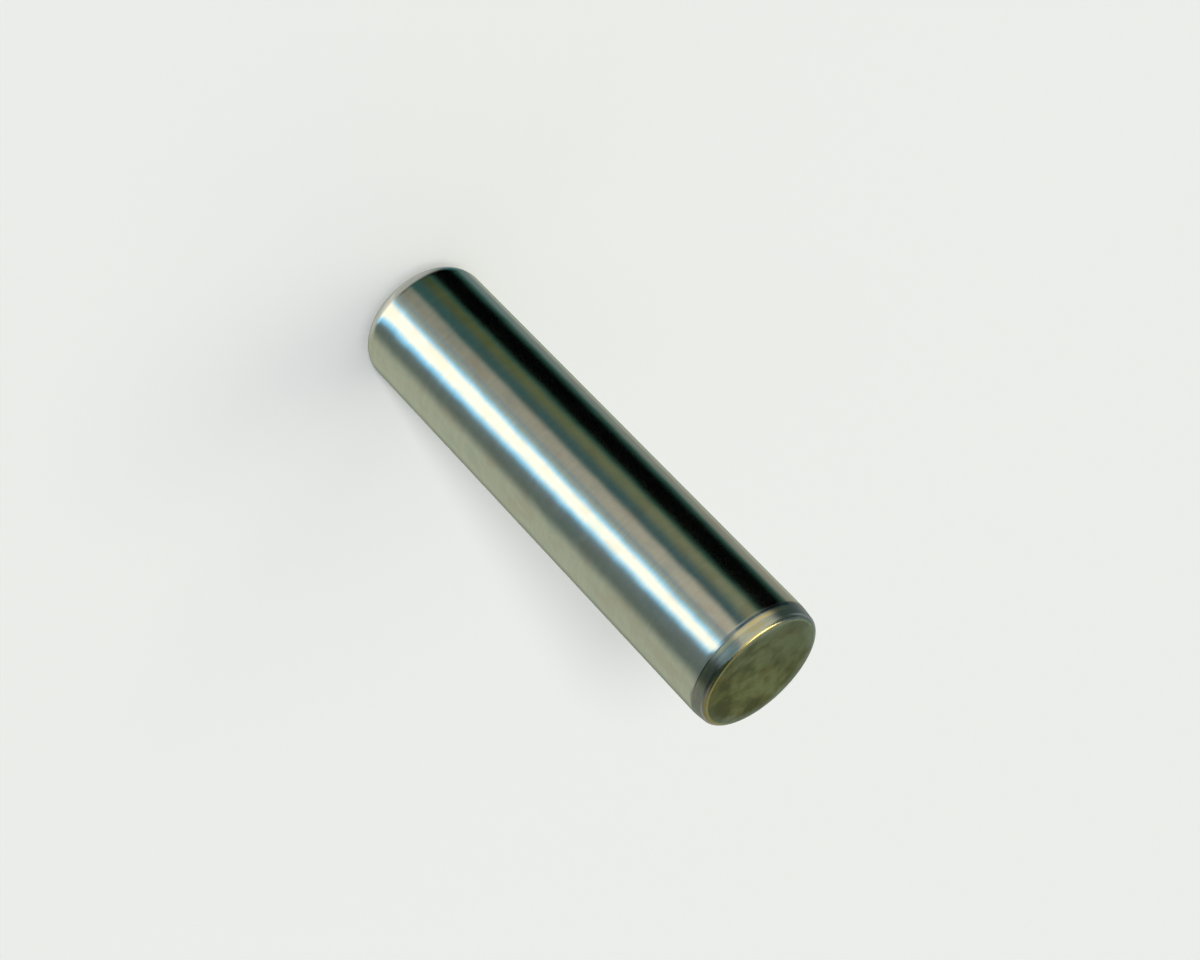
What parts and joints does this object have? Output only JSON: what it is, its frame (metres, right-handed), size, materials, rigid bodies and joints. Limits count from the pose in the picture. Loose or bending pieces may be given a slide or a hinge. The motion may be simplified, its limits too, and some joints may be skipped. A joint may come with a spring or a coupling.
{
  "type": "dowel pin",
  "caption": "Hardened and ground steel dowel pin: a plain cylinder with a short tapered lead on one end and a rounded corner on the other, pressed into reamed holes to locate two parts.",
  "frame": {"origin": "centre of the flat on the crowned end, on which the pin stands", "axes": "+Z along the pin's axis, from the crowned end towards the tapered lead; X and Y are free, because the pin is a solid of revolution"},
  "size_m": [0.0064, 0.0064, 0.0254],
  "materials": {
    "ground_steel": "bright centreless-ground shank, straw-tinted edges at the lead, satin brown-grey lead face"
  },
  "bodies": {
    "root": {"dowel_pin": "ground_steel"}
  },
  "joints": []
}
